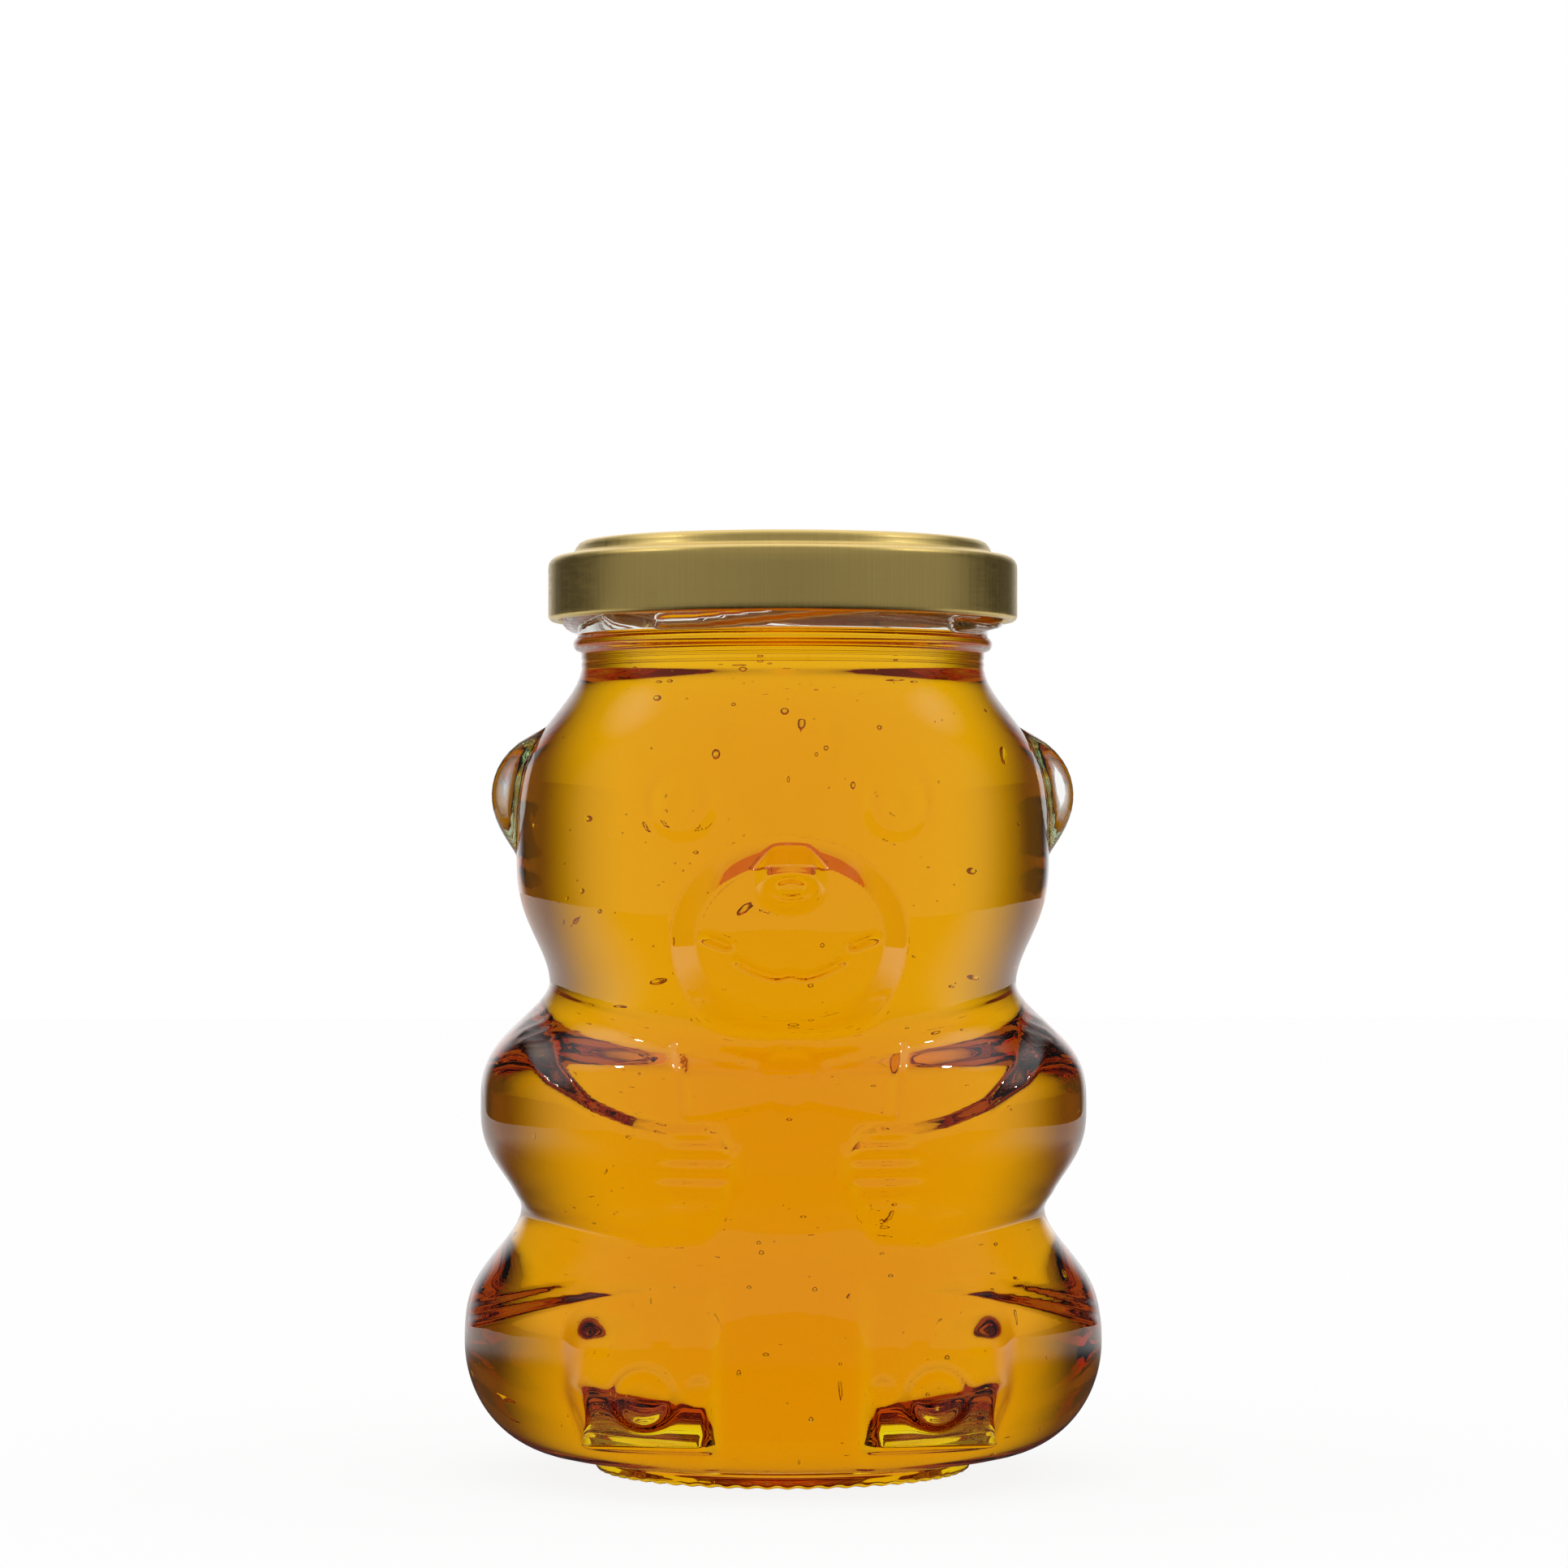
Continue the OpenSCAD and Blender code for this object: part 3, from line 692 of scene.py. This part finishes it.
def lidShape(kind, radius, angle, height):
    degrees = np.degrees(angle)
    away = np.min([np.abs((degrees - lid["lugAngle"] - 90 * k + 180) % 360 - 180) for k in range(4)], axis=0)
    lug = soft((lid["lugHalf"] + 2 - away) / 3)
    pressed = lug * soft((111.9 - height) / 0.9) * (radius > 28)
    inward = (radius < lid["radius"] - 0.75) * pressed
    bulge = soft((14 - away) / 10) * soft((113.5 - height) / 3) * (radius > 28)
    newRadius = radius - inward * (radius - lid["lugIn"]) * 0.9 - 0.12 * bulge
    newHeight = height - inward * np.clip(height - 111.0, 0, 1)
    return newRadius, newHeight


def makeLid(material):
    mesh = spun("lidShell", lidProfile(), lid["steps"])
    shaped(mesh, lidShape)
    return finishPiece(mesh, material, "lid", "lid_shell")


seal = {"inner": 23.6, "outer": 26.55, "low": 119.26, "high": 119.98, "steps": 192}


def makeSealRing(material):
    s = seal
    edge = 0.22
    loop = [(s["inner"], s["low"] + edge), (s["inner"] + edge, s["low"]), (s["outer"] - edge, s["low"])]
    loop += [(s["outer"], s["low"] + edge), (s["outer"], s["high"] - 0.1), (s["outer"] - 0.1, s["high"])]
    loop += [(s["inner"] + 0.1, s["high"]), (s["inner"], s["high"] - 0.1), loop[0]]
    mesh = spun("sealRing", [(plain, r, z) for r, z in loop], s["steps"])
    shaped(mesh, lambda kind, radius, angle, height: (radius, height))
    return finishPiece(mesh, material, "seal", "sealing_ring")


makeJar(makeGlass())
makeHoneyFill(makeHoney())
makeLid(makeGold())
makeSealRing(makeSeal())
print("pieces made")


# Room: bright behind the jar and darker to the sides, as the honey bends the view to them
room = {"bright": 24, "dark": 57, "sideFrom": 75, "sideTo": 125, "sideLight": 0.5, "shade": (0.17, 0.12, 0.08, 1),
        "mirrorBright": 14, "mirrorDark": 32, "mirrorFront": 0.26, "mirrorSide": 0.03}


def addAway(tree, x, y):
    # degrees from straight behind the jar
    return addMath(tree, "MULTIPLY", addMath(tree, "ABSOLUTE", addMath(tree, "ARCTAN2", x, y)), 180 / math.pi)


def addRoomLight(tree, away):
    behind = addRange(tree, away, room["bright"], room["dark"], 1, 0)
    side = addRange(tree, away, room["sideFrom"], room["sideTo"], 0, room["sideLight"])
    return addMix(tree, addMath(tree, "MAXIMUM", behind, side), room["shade"], (1, 1, 1, 1))


# Floor: white, and it keeps a faint shadow. In reflections it glows with a painted shadow, dimmer within reach of the
# jar and in front of it. Seen through the jar it glows with painted room shade, bright behind the jar and darker to
# the sides.
stageSettings = {"wide": 0.9, "long": 4.0, "drop": 0.0002, "shadowShare": 0.12, "mirrorNear": 0.1, "mirrorFar": 0.24,
                 "mirrorGlow": 0.7}


def makeFloor():
    bm = bmesh.new()
    bmesh.ops.create_grid(bm, x_segments=1, y_segments=1, size=1)
    bmesh.ops.scale(bm, verts=bm.verts, vec=(stageSettings["wide"] / 2, stageSettings["long"] / 2, 1))
    bmesh.ops.translate(bm, verts=bm.verts, vec=(0, 0, -stageSettings["drop"]))
    mesh = bpy.data.meshes.new("floor")
    bm.to_mesh(mesh)
    bm.free()
    material = bpy.data.materials.new("whiteFloor")
    material.use_nodes = True
    tree = material.node_tree
    tree.nodes.clear()
    path = tree.nodes.new("ShaderNodeLightPath")
    matt = tree.nodes.new("ShaderNodeBsdfDiffuse")
    matt.inputs["Color"].default_value = (0.9, 0.9, 0.9, 1)
    glow = tree.nodes.new("ShaderNodeEmission")
    glow.inputs["Color"].default_value = (1, 1, 1, 1)
    glow.inputs["Strength"].default_value = 1
    seen = addMath(tree, "MULTIPLY", path.outputs["Is Camera Ray"], 1 - stageSettings["shadowShare"])
    coords = objectCoords(tree)
    split = tree.nodes.new("ShaderNodeSeparateXYZ")
    link(tree, coords, split.inputs[0])
    inside = path.outputs["Is Transmission Ray"]
    bounced = addMath(tree, "SUBTRACT", path.outputs["Is Glossy Ray"], inside, clamp=True)
    length = tree.nodes.new("ShaderNodeVectorMath")
    length.operation = "LENGTH"
    link(tree, coords, length.inputs[0])
    # painted shadow in reflections: the floor's glow for glossy rays is dimmer near the jar and in front of it
    paintedReflectedShade = addRange(tree, length.outputs["Value"], stageSettings["mirrorNear"], stageSettings["mirrorFar"], 0.04,
                   stageSettings["mirrorGlow"])
    paintedReflectedShade = addMath(tree, "MULTIPLY", paintedReflectedShade, addRange(tree, split.outputs["Y"], -0.12, 0.04, 0.1, 1))
    mirrored = tree.nodes.new("ShaderNodeCombineColor")
    for name in ("Red", "Green", "Blue"):
        link(tree, paintedReflectedShade, mirrored.inputs[name])
    # painted room shade seen through the jar: the floor glows bright behind the jar and darker to the sides
    through = addRoomLight(tree, addAway(tree, split.outputs["X"], split.outputs["Y"]))
    colour = addMix(tree, bounced, (1, 1, 1, 1), mirrored.outputs[0])
    link(tree, addMix(tree, inside, colour, through), glow.inputs["Color"])
    factor = addMath(tree, "MAXIMUM", seen, addMath(tree, "MAXIMUM", inside, bounced))
    mix = tree.nodes.new("ShaderNodeMixShader")
    link(tree, factor, mix.inputs[0])
    link(tree, matt.outputs[0], mix.inputs[1])
    link(tree, glow.outputs[0], mix.inputs[2])
    output = tree.nodes.new("ShaderNodeOutputMaterial")
    link(tree, mix.outputs[0], output.inputs["Surface"])
    mesh.materials.append(material)
    floor = bpy.data.objects.new("floor", mesh)
    scene.collection.objects.link(floor)


def makeWorld():
    world = bpy.data.worlds.new("studio")
    scene.world = world
    world.use_nodes = True
    tree = world.node_tree
    tree.nodes.clear()
    coords = tree.nodes.new("ShaderNodeTexCoord")
    split = tree.nodes.new("ShaderNodeSeparateXYZ")
    link(tree, coords.outputs["Generated"], split.inputs[0])
    away = addAway(tree, split.outputs["X"], split.outputs["Y"])
    rise = addMath(tree, "MULTIPLY", addMath(tree, "ARCSINE", split.outputs["Z"]), 180 / math.pi)
    top = addRange(tree, rise, 38, 60)
    through = addMix(tree, top, addRoomLight(tree, away), (1, 1, 1, 1))
    back = addRange(tree, away, room["mirrorBright"], room["mirrorDark"], 1, 0)
    dim = addRange(tree, away, 68, 92, room["mirrorSide"], room["mirrorFront"])
    above = addMath(tree, "MULTIPLY", addRange(tree, rise, 35, 50), addRange(tree, split.outputs["Y"], -0.05, 0.3))
    mirrored = addMath(tree, "MAXIMUM", addMath(tree, "MAXIMUM", back, above), dim)
    path = tree.nodes.new("ShaderNodeLightPath")
    inside = path.outputs["Is Transmission Ray"]
    bounced = addMath(tree, "SUBTRACT", path.outputs["Is Glossy Ray"], inside, clamp=True)
    grey = tree.nodes.new("ShaderNodeCombineColor")
    for name in ("Red", "Green", "Blue"):
        link(tree, mirrored, grey.inputs[name])
    colour = addMix(tree, bounced, (1, 1, 1, 1), grey.outputs[0])
    colour = addMix(tree, inside, colour, through)
    glow = tree.nodes.new("ShaderNodeBackground")
    link(tree, colour, glow.inputs["Color"])
    output = tree.nodes.new("ShaderNodeOutputWorld")
    link(tree, glow.outputs[0], output.inputs["Surface"])


def addLamp(name, place, size, power):
    light = bpy.data.lights.new(name, "AREA")
    light.size = size
    light.energy = power
    lamp = bpy.data.objects.new(name, light)
    lamp.location = place
    lamp.rotation_euler = (Vector((0, 0, 0.06)) - Vector(place)).to_track_quat("-Z", "Y").to_euler()
    scene.collection.objects.link(lamp)


# Camera: the photo's distance and height, worked out from the lid's and the base's ellipses
cameraSettings = {"distance": 0.668, "height": 0.078, "turn": -1.47, "aim": (0.00016, 0, 0.0888), "lens": 117.9}


def makeCamera():
    c = cameraSettings
    turn = math.radians(c["turn"])
    data = bpy.data.cameras.new("camera")
    data.sensor_width = 36
    data.lens = c["lens"]
    camera = bpy.data.objects.new("camera", data)
    camera.location = (c["distance"] * math.sin(turn), -c["distance"] * math.cos(turn), c["height"])
    aim = Vector(c["aim"]) - camera.location
    camera.rotation_euler = aim.to_track_quat("-Z", "Y").to_euler()
    scene.collection.objects.link(camera)
    scene.camera = camera


makeFloor()
makeWorld()
addLamp("leftWindow", (-0.62, 0.12, 1.0), 0.05, 0.3)
addLamp("rightWindow", (0.62, 0.12, 1.0), 0.05, 0.3)
makeCamera()
scene.view_settings.view_transform = "Standard"
# light passes many walls on its way through the jar
scene.cycles.max_bounces = 32
scene.cycles.transmission_bounces = 32
scene.cycles.glossy_bounces = 16
print("stage, lamps and camera made")
